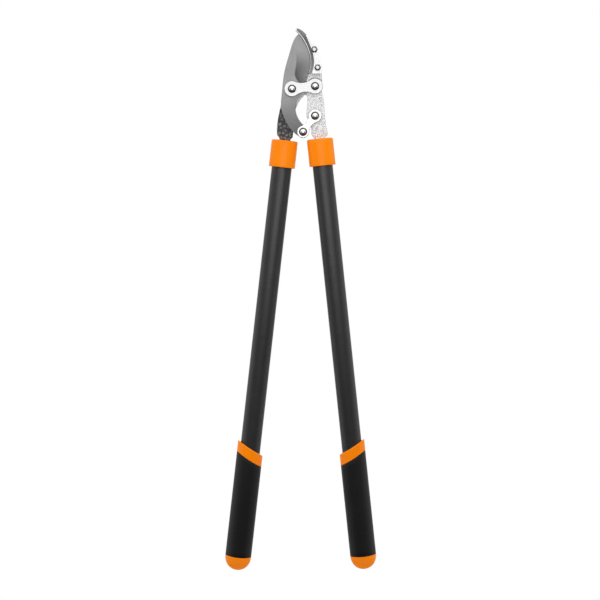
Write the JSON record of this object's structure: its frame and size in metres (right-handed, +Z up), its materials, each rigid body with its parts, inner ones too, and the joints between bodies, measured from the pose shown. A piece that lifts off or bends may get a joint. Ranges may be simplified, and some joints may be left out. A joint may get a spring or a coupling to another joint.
{
  "type": "bypass lopper",
  "caption": "Long two-handed bypass lopper with compound action: curved blade, bolted hook, link arm, oval tube handles with soft grips.",
  "frame": {"origin": "the hanging point: between the two handle collars, just under the link, where a wall peg carries the tool", "axes": "+Z up the tool from the handles to the cutting head, +X to the right handle seen from the front, the front faces -Y"},
  "size_m": [0.2018, 0.0328, 0.7256],
  "materials": {
    "forged_steel_dark": "rough dark forging scale, blasted",
    "forged_steel_light": "rough forging, zinc plated, pale with grey pits",
    "blade_steel": "satin grey coated steel, hollow ground",
    "hook_steel": "pale ground face, dark slope and bright inner edge",
    "plated_strap": "satin nickel plate",
    "bright_rivet": "polished dome",
    "zinc_fastener": "bright zinc plate",
    "tube_paint": "fine satin black powder coat",
    "orange_plastic": "smooth moulded orange plastic",
    "sleeve_plastic": "plain black moulded plastic",
    "grip_rubber": "soft black overmoulded rubber, fine matt"
  },
  "bodies": {
    "left_handle": {"hook_carrier": "forged_steel_dark", "counter_blade": "hook_steel", "counter_blade_bolts": "zinc_fastener", "counter_blade_nuts": "zinc_fastener", "pivot_strap": "plated_strap", "blade_pivot_rivet": "bright_rivet", "handle_pivot_rivet": "bright_rivet", "blade_pivot_washer": "plated_strap", "left_tube": "tube_paint", "left_collar": "orange_plastic", "left_tang_sleeve": "sleeve_plastic", "left_tang_pin": "zinc_fastener", "left_grip_core": "orange_plastic", "left_grip_cover": "grip_rubber", "left_end_cap": "orange_plastic"},
    "right_handle": {"right_shank": "forged_steel_light", "right_tube": "tube_paint", "right_collar": "orange_plastic", "right_tang_sleeve": "sleeve_plastic", "right_tang_pin": "zinc_fastener", "right_grip_core": "orange_plastic", "right_grip_cover": "grip_rubber", "right_end_cap": "orange_plastic"},
    "blade": {"cutting_blade": "blade_steel"},
    "link": {"link_plate_front": "plated_strap", "link_plate_rear": "plated_strap", "link_handle_rivet": "bright_rivet", "link_tail_rivet": "bright_rivet", "link_tail_washer": "plated_strap"}
  },
  "joints": [
    {"name": "handle_hinge", "type": "hinge", "parent": "left_handle", "child": "right_handle", "pos_m": [0.0168, 0, 0.0766], "axis": [0, -1, 0], "range_deg": [0, 50]},
    {"name": "blade_hinge", "type": "hinge", "parent": "left_handle", "child": "blade", "pos_m": [-0.0141, 0, 0.073], "axis": [0, -1, 0], "range_deg": [0, 32]},
    {"name": "link_hinge", "type": "hinge", "parent": "right_handle", "child": "link", "pos_m": [0.0168, 0, 0.0369], "axis": [0, -1, 0], "range_deg": [-60, 0]}
  ],
  "couplings": [
    {"joint": "blade_hinge", "follows": "handle_hinge", "ratio": 0.6248},
    {"joint": "link_hinge", "follows": "handle_hinge", "ratio": -1.1813}
  ]
}
